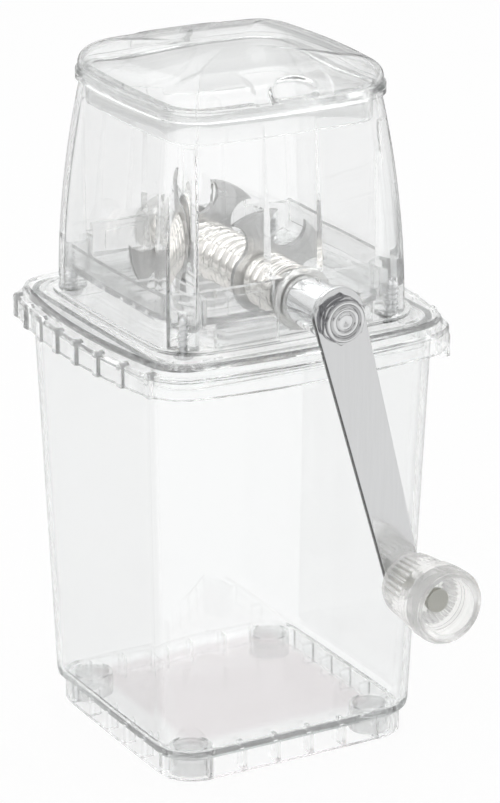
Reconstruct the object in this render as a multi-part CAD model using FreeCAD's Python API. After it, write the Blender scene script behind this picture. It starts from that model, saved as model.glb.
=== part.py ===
import FreeCAD, Part
import math
import os
from FreeCAD import Vector

# Hand cranked ice shaver: a clear cup, a clear crushing head that lifts off it, a lift-off lid
# and a steel rotor turned by a crank.
# Millimetres, +Z up.  The origin is the centre of the cup's foot on the surface it stands on.
# The rotor's axis runs along Y and the crank is on the -Y side.

# ---- Driving dimensions --------------------------------------------------------------------

# Cup
foot_width = 95.2
foot_corner = 13.1
foot_height = 7.7
foot_wall = 2.2
foot_lift = 0.0
cup_base_width = 100.3
cup_rim_width = 109.5
cup_rim_z = 152.4
cup_corner = 14.6
cup_wall = 2.4
cup_floor = 2.6
cup_edge_radius = 4.0
cup_side_bow = 0.5

# Foot ribs and pads
foot_rib_pitch = 13.3
foot_rib_count = 6
foot_rib_thickness = 1.8
foot_rib_depth = 4.2
pad_spacing = 72.0
pad_radius = 6.2
pad_socket_wall = 1.3

# Head base
flange_reach = 8.6
flange_corner = 17.0
flange_bow_x = 9.0
flange_bow_y = 7.0
skirt_height = 8.4
skirt_wall = 2.4
shoulder_height = 7.6
shoulder_inset = 2.2
deck_thickness = 2.6
deck_edge_radius = 2.0
deck_well_x = 62.0
deck_well_y = 80.0
deck_well_corner = 8.0
spigot_depth = 7.4
spigot_wall = 1.8
fence_height = 1.2
fence_wall = 1.8

# Grip ribs on the two sides of the head base
grip_rib_count = 8
grip_rib_pitch = 13.9
grip_rib_width = 4.4
grip_rib_reach = 1.2
grip_rib_height = 8.6

# Lug that stands for the front rib on the +X side
lug_y = -50.0
lug_tip = 57.3
lug_width = 4.4
lug_drop = 4.0
lug_height = 8.8

# Hopper
hopper_base_width = 97.0
hopper_top_width = 84.2
hopper_corner = 14.4
hopper_bow = 2.0
hopper_wall = 2.4
hopper_height = 78.1
hopper_rim_thickness = 1.8
boss_inset = 8.9
boss_radius = 5.2
pilot_radius = 1.5

# Lid
lid_overhang = 2.8
lid_corner = 17.7
lid_bow = 4.6
lid_rim_thickness = 1.8
lid_wall = 2.2
lid_set_back = 0.8
lid_height = 12.2
lid_fullness = 2.9
lid_plug_depth = 10.5
lid_plug_wall = 1.8
tab_width = 29.0
tab_raise = 1.1
scoop_radius = 10.5
scoop_stand_off = 4.4
scoop_lift = 6.6

# Chute frame inside the hopper
chute_height = 17.5
chute_band_height = 8.6
chute_band_wall = 1.8
chute_slope_wall = 2.0
throat_x = 53.0
throat_y = 72.0
throat_corner = 6.0
upstand_rise = 6.0
upstand_width = 60.0
upstand_wall = 2.2
window_width = 12.0
window_height = 8.0
window_drop = 3.0
spout_depth = 5.0
grate_bar_thickness = 2.4
grate_bar_height = 3.6

# Rotor
axis_rise = 14.0
blade_radius = 23.5
blade_thickness = 2.0
blade_neck_radius = 11.8
blade_back_radius = 12.4
claw_span = 43.6
claw_pitch = 72.0
claw_count = 3
hex_phase = 24.0
rear_blade_phase = 343.0
middle_blade_phase = 60.0
front_blade_phase = 100.0
rear_blade_y = 27.5
middle_blade_y = 18.8
front_blade_y = -23.0
shaft_flats = 9.0
collar_radius = 9.6
collar_groove = 1.3
collar_rib_width = 3.4
long_collar_count = 4
front_collar_count = 2

# Bearings
bush_radius = 8.0
bush_flange_radius = 10.8
bush_flange_thickness = 1.8
bush_reach = 1.0
front_journal_radius = 5.0
rear_journal_radius = 4.0
rear_journal_length = 5.6
rear_cap_thickness = 1.4
washer_thickness = 0.6

# Crank
hub_radius = 8.7
hub_length = 21.0
hub_chamfer = 0.6
drive_flats = 7.0
arm_thickness = 2.4
arm_top_width = 18.3
arm_top_overhang = 1.8
arm_end_width = 13.2
crank_throw = 101.1
crank_angle = 15.2
stud_radius = 3.0
stud_length = 2.6
nut_flange_radius = 8.0
nut_flange_thickness = 1.0
nut_flats = 14.9
nut_height = 3.7
nut_ring_radius = 5.6
nut_dimple_radius = 2.6

# Knob
knob_length = 27.1
knob_grip_radius = 11.3
knob_head_radius = 13.3
knob_head_length = 11.6
knob_flute_count = 30
knob_flute_depth = 0.6
knob_cup_radius = 10.2
knob_cup_depth = 9.4
axle_radius = 3.0
axle_head_radius = 4.1
axle_head_thickness = 2.2
rivet_radius = 4.4
rivet_height = 1.3
knob_washer_radius = 7.0

# Screws that hold the hopper down
screw_radius = 1.9
screw_core_radius = 1.45
screw_pitch = 1.8
screw_grip = 12.0
screw_head_radius = 3.6
screw_head_thickness = 2.0

# Clearances
running_fit = 0.05
slip_gap = 0.3
spigot_gap = 0.5
seat_gap = 0.4
bar_gap = 1.0
axial_play = 0.2

# ---- Derived levels ------------------------------------------------------------------------

skirt_bottom = cup_rim_z - skirt_height
shoulder_z = skirt_bottom + shoulder_height
deck_top = cup_rim_z + deck_thickness
hopper_top = deck_top + hopper_height
hopper_rim_z = hopper_top - hopper_rim_thickness
lid_rim_top = hopper_top + lid_rim_thickness
lid_top = hopper_top + lid_height
scoop_centre_z = lid_rim_top + scoop_lift
axis_height = deck_top + axis_rise
upstand_height = axis_rise + upstand_rise
flange_width = cup_rim_width + 2 * flange_reach
lid_width = hopper_top_width + 2 * lid_overhang
screw_place = hopper_base_width / 2 - boss_inset


# ---- Outlines ------------------------------------------------------------------------------

class Outline:
    """A square with bowed sides and round corners, centred on the Z axis."""

    def __init__(self, half_x, half_y, corner, radius_x, radius_y):
        self.half_x = half_x
        self.half_y = half_y
        self.corner = corner
        self.radius_x = radius_x
        self.radius_y = radius_y

    def inset(self, gap):
        """The same outline moved inwards by gap all round, or outwards if it is negative."""
        return Outline(self.half_x - gap, self.half_y - gap, max(self.corner - gap, 0.6),
                       self.radius_x - gap, self.radius_y - gap)

    def side_x(self, y):
        """The x of the +X side at height y on the outline."""
        return self.half_x - self.radius_x + math.sqrt(self.radius_x ** 2 - y ** 2)

    def side_y(self, x):
        """The y of the +Y side at x."""
        return self.half_y - self.radius_y + math.sqrt(self.radius_y ** 2 - x ** 2)

    def corner_centre(self):
        """The centre of the round corner in the +X +Y quarter."""
        centre_x = Vector(self.half_x - self.radius_x, 0, 0)
        centre_y = Vector(0, self.half_y - self.radius_y, 0)
        reach_x = self.radius_x - self.corner
        reach_y = self.radius_y - self.corner
        between = centre_y - centre_x
        span = between.Length
        along = (reach_x ** 2 - reach_y ** 2 + span ** 2) / (2 * span)
        across = math.sqrt(max(reach_x ** 2 - along ** 2, 0.0))
        unit = between / span
        normal = Vector(unit.y, -unit.x, 0)
        foot = centre_x + unit * along
        return max((foot + normal * across, foot - normal * across), key=lambda point: point.x + point.y)

    def edge_x(self, y):
        """The x of the outline on the +X side at y, round the corner too."""
        centre = self.corner_centre()
        past = abs(y) - centre.y
        if past <= 0:
            return self.side_x(y)
        across = math.sqrt(max(self.corner ** 2 - past ** 2, 0.0))
        return min(self.side_x(y), centre.x + across)

    def wire(self, z):
        """Eight arcs: four bowed sides joined by four tangent round corners."""
        centre_x = Vector(self.half_x - self.radius_x, 0, 0)
        centre_y = Vector(0, self.half_y - self.radius_y, 0)
        round_centre = self.corner_centre()
        towards_x = (round_centre - centre_x).normalize()
        towards_y = (round_centre - centre_y).normalize()
        start = centre_x + towards_x * self.radius_x
        end = centre_y + towards_y * self.radius_y
        middle = round_centre + (towards_x + towards_y).normalize() * self.corner

        def place(point, sign_x, sign_y):
            return Vector(point.x * sign_x, point.y * sign_y, z)

        side = Vector(self.half_x, 0, 0)
        top = Vector(0, self.half_y, 0)
        arcs = [
            (place(start, 1, -1), place(side, 1, 1), place(start, 1, 1)),
            (place(start, 1, 1), place(middle, 1, 1), place(end, 1, 1)),
            (place(end, 1, 1), place(top, 1, 1), place(end, -1, 1)),
            (place(end, -1, 1), place(middle, -1, 1), place(start, -1, 1)),
            (place(start, -1, 1), place(side, -1, 1), place(start, -1, -1)),
            (place(start, -1, -1), place(middle, -1, -1), place(end, -1, -1)),
            (place(end, -1, -1), place(top, 1, -1), place(end, 1, -1)),
            (place(end, 1, -1), place(middle, 1, -1), place(start, 1, -1)),
        ]
        return Part.Wire([Part.Arc(*arc).toShape() for arc in arcs])


def bowed_square(width, depth, corner, bow_x, bow_y):
    """An outline from its overall size, its corner radius and how far its sides bow out."""
    radius_x = ((depth / 2) ** 2 + bow_x ** 2) / (2 * bow_x)
    radius_y = ((width / 2) ** 2 + bow_y ** 2) / (2 * bow_y)
    return Outline(width / 2, depth / 2, corner, radius_x, radius_y)


def stack(sections, smooth=False):
    """A closed solid through (outline, z) sections, straight between them unless smooth."""
    wires = [outline.wire(z) for outline, z in sections]
    return Part.makeLoft(wires, True, not smooth)


def prism(outline, low, high):
    """A straight solid with the given outline from one height to another."""
    return stack([(outline, low), (outline, high)])


# ---- Small shapes --------------------------------------------------------------------------

def box(x, y, z):
    """A box from three (low, high) pairs."""
    return Part.makeBox(x[1] - x[0], y[1] - y[0], z[1] - z[0], Vector(x[0], y[0], z[0]))


def rod(radius, front, back, x=0.0, z=axis_height):
    """A cylinder along Y from y = front to y = back."""
    return Part.makeCylinder(radius, back - front, Vector(x, front, z), Vector(0, 1, 0))


def post(radius, low, high, x, y):
    """A cylinder along Z."""
    return Part.makeCylinder(radius, high - low, Vector(x, y, low), Vector(0, 0, 1))


def hexagon(flats, front, back, turn=0.0):
    """A hexagonal prism along Y on the rotor's axis, one corner at the angle turn."""
    corner = flats / math.sqrt(3)
    points = []
    for k in range(7):
        angle = math.radians(turn + 60 * k)
        points.append(Vector(corner * math.cos(angle), front, axis_height + corner * math.sin(angle)))
    return Part.Face(Part.makePolygon(points)).extrude(Vector(0, back - front, 0))


def turned(profile, x=0.0, z=axis_height):
    """A solid turned about a Y axis at x, z from (y, radius) points, closed on that axis."""
    points = [Vector(x, profile[0][0], z)]
    points += [Vector(x + radius, y, z) for y, radius in profile]
    points += [Vector(x, profile[-1][0], z), points[0]]
    face = Part.Face(Part.makePolygon(points))
    return face.revolve(Vector(x, 0, z), Vector(0, 1, 0), 360)


def at_corners(place):
    """The four corner positions of a square pattern."""
    return [(sx * place, sy * place) for sx in (-1, 1) for sy in (-1, 1)]


def joined(pieces):
    """One solid from touching or overlapping pieces."""
    return pieces[0].fuse(pieces[1:]).removeSplitter()


# ---- Cup -----------------------------------------------------------------------------------

cup_outer_base = bowed_square(cup_base_width, cup_base_width, cup_corner, cup_side_bow, cup_side_bow)
cup_outer_rim = bowed_square(cup_rim_width, cup_rim_width, cup_corner, cup_side_bow, cup_side_bow)
cup_edge_z = foot_height + cup_edge_radius


def rounded_base(outline, low, radius):
    """Sections that round an outline's bottom edge with three flats."""
    steps = []
    for degrees in (10, 35, 62, 90):
        angle = math.radians(degrees)
        steps.append((outline.inset(radius * (1 - math.sin(angle))), low + radius * (1 - math.cos(angle))))
    return steps


def cup_inner_rim():
    return cup_outer_rim.inset(cup_wall)


def make_cup():
    """Tapered cup with a rounded bottom edge, a foot skirt with ribs and four pad sockets."""
    low = rounded_base(cup_outer_base, foot_height, cup_edge_radius)
    outside = stack(low + [(cup_outer_rim, cup_rim_z)])
    inner_base = cup_outer_base.inset(cup_wall)
    inner_radius = cup_edge_radius - 1.0
    low = rounded_base(inner_base, foot_height + cup_floor, inner_radius)
    inside = stack(low + [(cup_inner_rim(), cup_rim_z)])
    foot = bowed_square(foot_width, foot_width, foot_corner, cup_side_bow, cup_side_bow)
    foot_top = foot_height + slip_gap
    skirt = prism(foot, foot_lift, foot_top)
    hollow = prism(foot.inset(foot_wall), foot_lift, foot_top)
    pieces = [outside.cut(inside), skirt.cut(hollow)]
    reach = foot_width / 2
    start = -(foot_rib_count - 1) / 2 * foot_rib_pitch
    half = foot_rib_thickness / 2
    for k in range(foot_rib_count):
        place = start + k * foot_rib_pitch
        for side in (-1, 1):
            ends = sorted((side * (reach - foot_wall / 2), side * (reach - foot_wall - foot_rib_depth)))
            pieces.append(box(ends, (place - half, place + half), (foot_lift, foot_top)))
            pieces.append(box((place - half, place + half), ends, (foot_lift, foot_top)))
    for x, y in at_corners(pad_spacing / 2):
        tube = post(pad_radius + pad_socket_wall, foot_lift, foot_top, x, y)
        pieces.append(tube)
    solid = joined(pieces)
    for x, y in at_corners(pad_spacing / 2):
        solid = solid.cut(post(pad_radius + running_fit, 0, foot_height, x, y))
    return solid


def make_foot_pads():
    """Four soft round pads pressed into the sockets under the cup."""
    return Part.makeCompound([post(pad_radius, 0, foot_height, x, y) for x, y in at_corners(pad_spacing / 2)])


# ---- Head base -----------------------------------------------------------------------------

flange = bowed_square(flange_width, flange_width, flange_corner, flange_bow_x, flange_bow_y)
hopper_foot = bowed_square(hopper_base_width, hopper_base_width, hopper_corner, hopper_bow, hopper_bow)


def arched_rib(y, tip, width, low, high):
    """An upright rib with an arched top, from inside the skirt's corner or side out to x = tip."""
    half = width / 2
    root = flange.edge_x(abs(y) + half) - skirt_wall
    arch_z = high - half
    body = box((root, tip), (y - half, y + half), (low, arch_z))
    arch = Part.makeCylinder(half, tip - root, Vector(root, y, arch_z), Vector(1, 0, 0))
    rib = joined([body, arch])
    front_edges = [edge for edge in rib.Edges
                   if all(abs(vertex.X - tip) < 0.01 for vertex in edge.Vertexes)
                   and edge.CenterOfMass.z > low + 0.1]
    return rib.makeFillet(width / 4, front_edges)


def grip_ribs():
    """Ribs along both sides; a lug that hangs lower takes the place of the front one on the +X side."""
    start = -(grip_rib_count - 1) / 2 * grip_rib_pitch
    lug_low = skirt_bottom - lug_drop
    ribs = [arched_rib(lug_y, lug_tip, lug_width, lug_low, lug_low + lug_height)]
    for k in range(grip_rib_count):
        y = start + k * grip_rib_pitch
        tip = flange.edge_x(abs(y) + grip_rib_width / 4) + grip_rib_reach
        rib = arched_rib(y, tip, grip_rib_width, skirt_bottom, skirt_bottom + grip_rib_height)
        ribs.append(rib.mirror(Vector(0, 0, 0), Vector(1, 0, 0)))
        if k > 0:
            ribs.append(rib)
    return ribs


def make_head_base():
    """Flange with a skirt round the cup's rim, a spigot inside it and the deck the hopper stands on."""
    shoulder = flange.inset(shoulder_inset)
    edge = deck_edge_radius
    skirt = stack([(flange, skirt_bottom), (flange, shoulder_z - 0.8), (flange.inset(0.8), shoulder_z)])
    upper = stack([(shoulder, skirt_bottom + skirt_wall), (shoulder, deck_top - edge),
                   (shoulder.inset(0.3 * edge), deck_top - 0.3 * edge), (shoulder.inset(edge), deck_top)])
    outside = joined([skirt, upper] + grip_ribs())
    skirt_space = prism(flange.inset(skirt_wall), skirt_bottom, shoulder_z - skirt_wall)
    deck_space = prism(shoulder.inset(skirt_wall), skirt_bottom, cup_rim_z)
    cup_space = prism(cup_outer_rim.inset(-spigot_gap), skirt_bottom - lug_drop, cup_rim_z)
    shell = outside.cut(skirt_space).cut(deck_space).cut(cup_space)
    spigot_outline = cup_inner_rim().inset(spigot_gap)
    spigot = prism(spigot_outline, cup_rim_z - spigot_depth, cup_rim_z)
    spigot = spigot.cut(prism(spigot_outline.inset(spigot_wall), cup_rim_z - spigot_depth, cup_rim_z))
    fence_inside = hopper_foot.inset(-slip_gap)
    fence = prism(fence_inside.inset(-fence_wall), deck_top, deck_top + fence_height)
    fence = fence.cut(prism(fence_inside, deck_top, deck_top + fence_height))
    solid = joined([shell, spigot, fence])
    well = bowed_square(deck_well_x, deck_well_y, deck_well_corner, hopper_bow / 4, hopper_bow / 4)
    solid = solid.cut(prism(well, cup_rim_z, deck_top))
    for x, y in at_corners(screw_place):
        solid = solid.cut(post(screw_radius + slip_gap, cup_rim_z, deck_top, x, y))
        solid = solid.cut(post(screw_head_radius + slip_gap, cup_rim_z - spigot_depth, cup_rim_z, x, y))
    return solid


# ---- Hopper --------------------------------------------------------------------------------

def hopper_half(z):
    """Half the hopper's outside width at height z: its sides lean in more and more."""
    share = (z - deck_top) / (hopper_height - hopper_rim_thickness)
    return hopper_base_width / 2 - (hopper_base_width - hopper_top_width) / 2 * share ** 2


def hopper_outline(z, inset=0.0):
    width = 2 * hopper_half(z)
    return bowed_square(width, width, hopper_corner, hopper_bow, hopper_bow).inset(inset)


def hopper_body(inset, top):
    steps = 4
    levels = [deck_top + (top - deck_top) * k / steps for k in range(steps + 1)]
    return stack([(hopper_outline(z, inset), z) for z in levels], smooth=True)


def bearing_arch(radius, low, front, back):
    """An upright slot along Y with a round top about the rotor's axis."""
    slot = box((-radius, radius), (front, back), (low, axis_height))
    return joined([slot, rod(radius, front, back)])


wall_y = hopper_half(axis_height)
wall_inner_y = wall_y - hopper_wall
arch_radius = bush_radius + slip_gap / 2
pad_inner_y = hopper_half(hopper_rim_z) - hopper_wall + 0.4
boss_top = hopper_top - lid_plug_depth - seat_gap
lid_outline = bowed_square(lid_width, lid_width, lid_corner, lid_bow, lid_bow)


def make_hopper():
    """Leaning clear walls with a rim, four screw bosses and an arch for each bearing."""
    outside = hopper_body(0.0, hopper_rim_z)
    inside = hopper_body(hopper_wall, hopper_rim_z)
    rim = prism(lid_outline, hopper_rim_z, hopper_top)
    mouth = prism(hopper_outline(hopper_rim_z, hopper_wall), hopper_rim_z, hopper_top)
    pieces = [outside.cut(inside), rim.cut(mouth)]
    for x, y in at_corners(screw_place):
        pieces.append(post(boss_radius, deck_top, boss_top, x, y).common(outside))
    half = bush_flange_radius - 1.0
    for side in (-1, 1):
        ends = sorted((side * pad_inner_y, side * wall_y))
        pad = box((-half, half), ends, (deck_top + upstand_height + 1.0, hopper_rim_z))
        pieces.append(pad.common(outside))
    solid = joined(pieces)
    for x, y in at_corners(screw_place):
        solid = solid.cut(post(pilot_radius, deck_top, deck_top + screw_grip + 1.0, x, y))
    for side in (-1, 1):
        ends = sorted((side * (pad_inner_y - 1.0), side * (wall_y + 1.0)))
        solid = solid.cut(bearing_arch(arch_radius, deck_top, *ends))
        collar_end = hex_back + seat_gap
        if collar_end > pad_inner_y:
            room = sorted((side * (pad_inner_y - 1.0), side * collar_end))
            solid = solid.cut(rod(collar_radius + seat_gap, *room))
    return solid


def make_hopper_screws():
    """Four self-tapping screws driven up through the deck into the hopper's bosses."""
    head_bottom = cup_rim_z - screw_head_thickness
    tip = deck_top + screw_grip
    screws = []
    for x, y in at_corners(screw_place):
        head = post(screw_head_radius, head_bottom, cup_rim_z, x, y)
        slot = box((x - screw_head_radius, x + screw_head_radius), (y - 0.5, y + 0.5),
                   (head_bottom, head_bottom + 0.9))
        pieces = [head.cut(slot), post(screw_core_radius, cup_rim_z, tip - 1.5, x, y)]
        cone = Part.makeCone(screw_core_radius, 0.3, 1.5, Vector(x, y, tip - 1.5), Vector(0, 0, 1))
        pieces.append(cone)
        turns = int((tip - 2.0 - deck_top) / screw_pitch)
        for k in range(turns):
            z = deck_top + 0.4 + k * screw_pitch
            low = Part.makeCone(screw_core_radius, screw_radius, 0.45, Vector(x, y, z), Vector(0, 0, 1))
            high = Part.makeCone(screw_radius, screw_core_radius, 0.45, Vector(x, y, z + 0.45),
                                 Vector(0, 0, 1))
            pieces += [low, high]
        screws.append(joined(pieces))
    return Part.makeCompound(screws)


# ---- Lid -----------------------------------------------------------------------------------

lid_body = lid_outline.inset(lid_set_back)


def dome(outline, low, high):
    """A pillow shape: upright edge, then sections that round over to a nearly flat crown."""
    spring = lid_rim_top + 0.4
    sections = [(outline, low), (outline, spring)]
    reach = outline.half_x - 3.0
    for share in (0.03, 0.08, 0.16, 0.26, 0.38, 0.54, 0.74, 1.0):
        rise = (1 - (1 - share) ** lid_fullness) ** (1 / lid_fullness)
        sections.append((outline.inset(reach * share), spring + (high - spring) * rise))
    return stack(sections)


def make_lid():
    """Hollow domed lid with a rim, a plug that drops into the hopper and two scooped finger tabs."""
    outside = dome(lid_body, hopper_top + 0.6, lid_top)
    inside = dome(lid_body.inset(lid_wall), lid_rim_top, lid_top - lid_wall)
    plug = hopper_outline(hopper_rim_z, hopper_wall + spigot_gap)
    plug_low = hopper_top - lid_plug_depth
    pieces = [outside, prism(lid_outline, hopper_top, lid_rim_top), prism(plug, plug_low, hopper_top + 0.9)]
    half = tab_width / 2
    reach = lid_body.half_y + tab_raise
    scoops = []
    for side in (-1, 1):
        proud = outside.copy()
        proud.translate(Vector(0, side * tab_raise, 0))
        ends = sorted((side * (lid_body.half_y - lid_height), side * (reach + 1.0)))
        pieces.append(proud.common(box((-half, half), ends, (hopper_top + 0.6, lid_top + 1.0))))
        centre = Vector(0, side * (reach + scoop_stand_off), scoop_centre_z)
        floor = box((-tab_width, tab_width), sorted((0, side * 2 * reach)),
                    (lid_rim_top + 0.3, lid_top + tab_width))
        scoops.append(Part.makeSphere(scoop_radius, centre).common(floor))
        inside = inside.cut(Part.makeSphere(scoop_radius + lid_wall, centre))
    solid = joined(pieces)
    for scoop in scoops:
        solid = solid.cut(scoop)
    space = prism(plug.inset(lid_plug_wall), plug_low, lid_rim_top + 0.5)
    return solid.cut(inside).cut(space)


# ---- Chute frame ---------------------------------------------------------------------------

chute_top = deck_top + chute_height
chute_outer = hopper_outline(chute_top, hopper_wall + seat_gap)
chute_fold = chute_top - chute_band_height
throat = bowed_square(throat_x, throat_y, throat_corner, hopper_bow / 4, hopper_bow / 4)


def grate_places():
    """The y of each fixed bar: between neighbouring blades and evenly along the long gap."""
    step = rear_blade_y - middle_blade_y
    places = [rear_blade_y + step / 2, (rear_blade_y + middle_blade_y) / 2]
    gap = middle_blade_y - front_blade_y
    count = max(int(gap / step + 0.5), 2)
    for k in range(1, count):
        places.append(middle_blade_y - gap * k / count)
    places.append(front_blade_y - step / 2)
    return places


def make_chute_frame():
    """Funnel that fills the foot of the hopper: bands, slopes, bearing upstands and grate bars."""
    band_inside = chute_outer.inset(chute_band_wall)
    spout = throat.inset(-chute_slope_wall)
    outside = joined([stack([(spout, deck_top), (chute_outer, chute_fold)]),
                      prism(spout, deck_top - spout_depth, deck_top),
                      prism(chute_outer, chute_fold, chute_top)])
    slope_low = deck_top + chute_slope_wall
    slope_high = chute_fold + chute_slope_wall
    bore = joined([stack([(throat, slope_low), (band_inside, slope_high)]),
                   prism(throat, deck_top - spout_depth, slope_low),
                   prism(band_inside, slope_high, chute_top)])
    for x, y in at_corners(screw_place):
        wrap = boss_radius + seat_gap + chute_band_wall
        bore = bore.cut(post(wrap, deck_top, chute_top, x, y))
    pieces = [outside.cut(bore)]
    bar_top = axis_height - collar_radius - bar_gap
    for y in grate_places():
        span = (y - grate_bar_thickness / 2, y + grate_bar_thickness / 2)
        bar = box((-chute_outer.half_x, chute_outer.half_x), span, (bar_top - grate_bar_height, bar_top))
        pieces.append(bar.common(outside))
    half = upstand_width / 2
    face = chute_outer.side_y(half)
    window_x = (half + arch_radius) / 2
    window_low = deck_top + upstand_height - window_height - window_drop
    for side in (-1, 1):
        wall = box((-half, half), sorted((side * face, side * (face - upstand_wall))),
                   (deck_top, deck_top + upstand_height))
        recess = sorted((side * (face - upstand_wall), side * (face - upstand_wall / 2)))
        for way in (-1, 1):
            span = (way * window_x - window_width / 2, way * window_x + window_width / 2)
            wall = wall.cut(box(span, recess, (window_low, window_low + window_height)))
        pieces.append(wall)
    solid = joined(pieces)
    for side in (-1, 1):
        ends = sorted((side * (bush_inner_y - bush_reach), side * (wall_inner_y + 1.0)))
        opening = box((-arch_radius, arch_radius), ends, (axis_height, axis_height + upstand_height))
        solid = solid.cut(joined([rod(arch_radius, *ends), opening]))
        room = sorted((side * (throat_y / 2 - 1.0), side * (hex_back + seat_gap)))
        solid = solid.cut(rod(collar_radius + seat_gap, *room))
    for x, y in at_corners(screw_place):
        solid = solid.cut(post(boss_radius + seat_gap, deck_top, chute_top + upstand_height, x, y))
    return solid


# ---- Bearings ------------------------------------------------------------------------------

upstand_face = chute_outer.side_y(upstand_width / 2) - upstand_wall
bush_inner_y = upstand_face - bush_reach
bush_face_y = wall_y + slip_gap
bush_outer_y = bush_face_y + bush_flange_thickness


def make_front_bearing():
    """Flanged bush held between the hopper's arch and the chute frame's upstand."""
    body = turned([(-bush_outer_y, bush_flange_radius - 0.4), (-bush_outer_y + 0.4, bush_flange_radius),
                   (-bush_face_y, bush_flange_radius), (-bush_face_y, bush_radius),
                   (-bush_inner_y, bush_radius)])
    return body.cut(rod(front_journal_radius + running_fit, -bush_outer_y, -bush_inner_y))


def make_rear_bearing():
    """Flanged bush with a closed end, for the rotor's rear journal."""
    body = turned([(bush_inner_y, bush_radius), (bush_face_y, bush_radius),
                   (bush_face_y, bush_flange_radius), (bush_outer_y - 0.4, bush_flange_radius),
                   (bush_outer_y, bush_flange_radius - 0.4)])
    return body.cut(rod(rear_journal_radius + running_fit, bush_inner_y, bush_outer_y - rear_cap_thickness))


# ---- Rotor ---------------------------------------------------------------------------------

hex_back = bush_inner_y - washer_thickness - axial_play
hex_front = -(bush_inner_y - washer_thickness - axial_play)
hub_back = -(bush_outer_y + seat_gap)
hub_front = hub_back - hub_length
arm_front = hub_front - arm_thickness


def make_shaft():
    """Hexagonal shaft with two round journals, a smaller drive hexagon and a stud."""
    drive_end = arm_front + 0.2
    pieces = [
        hexagon(shaft_flats, hex_front, hex_back, hex_phase),
        rod(rear_journal_radius, hex_back, hex_back + rear_journal_length),
        rod(front_journal_radius, hub_back, hex_front),
        hexagon(drive_flats, drive_end, hub_back, hex_phase),
        rod(stud_radius, drive_end - stud_length, drive_end),
    ]
    return joined(pieces)


def make_blade(y, phase):
    """Steel blade on the hexagonal shaft: curved claws side by side between round gaps, cut back behind.

    The first claw points at the angle phase, and the others follow it clockwise.
    """
    low = y - blade_thickness / 2
    high = y + blade_thickness / 2
    gap_half = math.radians((claw_pitch - claw_span) / 2)
    tip_x = blade_radius * math.cos(gap_half)
    tip_z = blade_radius * math.sin(gap_half)
    centre = (tip_x ** 2 + tip_z ** 2 - blade_neck_radius ** 2) / (2 * (tip_x - blade_neck_radius))
    bite = centre - blade_neck_radius
    gaps = [math.radians(claw_pitch * (0.5 - k)) for k in range(claw_count + 1)]
    reach = 2 * blade_radius
    corners = [Vector(0, low, axis_height)]
    for angle in gaps:
        corners.append(Vector(reach * math.cos(angle), low, axis_height + reach * math.sin(angle)))
    sector = Part.Face(Part.makePolygon(corners + corners[:1])).extrude(Vector(0, high - low, 0))
    claws = rod(blade_radius, low, high).common(sector)
    blade = joined([rod(blade_back_radius, low, high), claws])
    for angle in gaps:
        x = centre * math.cos(angle)
        z = axis_height + centre * math.sin(angle)
        blade = blade.cut(rod(bite, low - 1, high + 1, x, z))
    blade.rotate(Vector(0, 0, axis_height), Vector(0, -1, 0), phase)
    return blade.cut(hexagon(shaft_flats + 2 * running_fit, low - 1, high + 1, hex_phase))


def make_collar(front, back):
    """Steel collar with rounded ribs, which spaces the blades along the shaft."""
    length = back - front
    count = max(int(length / (collar_rib_width + collar_groove) + 0.5), 1)
    step = length / count
    groove = step - collar_rib_width
    depth = collar_groove
    profile = []
    for k in range(count):
        start = front + k * step + groove / 2
        profile.append((start - groove / 2, collar_radius - depth))
        profile.append((start, collar_radius - depth))
        for degrees in (0, 30, 60, 90, 120, 150, 180):
            angle = math.radians(degrees)
            y = start + collar_rib_width * (1 - math.cos(angle)) / 2
            profile.append((y, collar_radius - depth + depth * math.sin(angle)))
    profile.append((back, collar_radius - depth))
    clean = [profile[0]]
    for point in profile[1:]:
        if abs(point[0] - clean[-1][0]) + abs(point[1] - clean[-1][1]) > 1e-6:
            clean.append(point)
    bore = shaft_flats / math.sqrt(3) + running_fit
    return turned(clean).cut(rod(bore, front, back))


def even_spans(front, back, count):
    """Equal (front, back) spans that fill a length."""
    step = (back - front) / count
    return [(front + k * step, front + (k + 1) * step) for k in range(count)]


def collar_spans():
    """Named spans of every collar along the shaft, from the back to the front."""
    half = blade_thickness / 2
    spans = {"rear_collar": (rear_blade_y + half, hex_back),
             "short_collar": (middle_blade_y + half, rear_blade_y - half)}
    long = even_spans(front_blade_y + half, middle_blade_y - half, long_collar_count)
    for k, span in enumerate(reversed(long)):
        spans["long_collar_%d" % (k + 1)] = span
    front = even_spans(hex_front, front_blade_y - half, front_collar_count)
    for k, span in enumerate(reversed(front)):
        spans["front_collar_%d" % (k + 1)] = span
    return spans


def make_washer(face, side):
    """Thin thrust washer that rides on the shaft's shoulder against a bush."""
    ends = sorted((face, face + side * washer_thickness))
    ring = rod(bush_radius - 0.5, *ends)
    bore = (front_journal_radius if side < 0 else rear_journal_radius) + running_fit
    return ring.cut(rod(bore, *ends))


# ---- Crank ---------------------------------------------------------------------------------

knob_x = crank_throw * math.sin(math.radians(crank_angle))
knob_z = axis_height - crank_throw * math.cos(math.radians(crank_angle))


def make_hub_sleeve():
    """Bright sleeve on the shaft's drive hexagon, between the bush and the arm."""
    body = turned([(hub_front, hub_radius - hub_chamfer), (hub_front + hub_chamfer, hub_radius),
                   (hub_back - hub_chamfer, hub_radius), (hub_back, hub_radius - hub_chamfer)])
    return body.cut(hexagon(drive_flats + 2 * running_fit, hub_front, hub_back, hex_phase))


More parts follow.
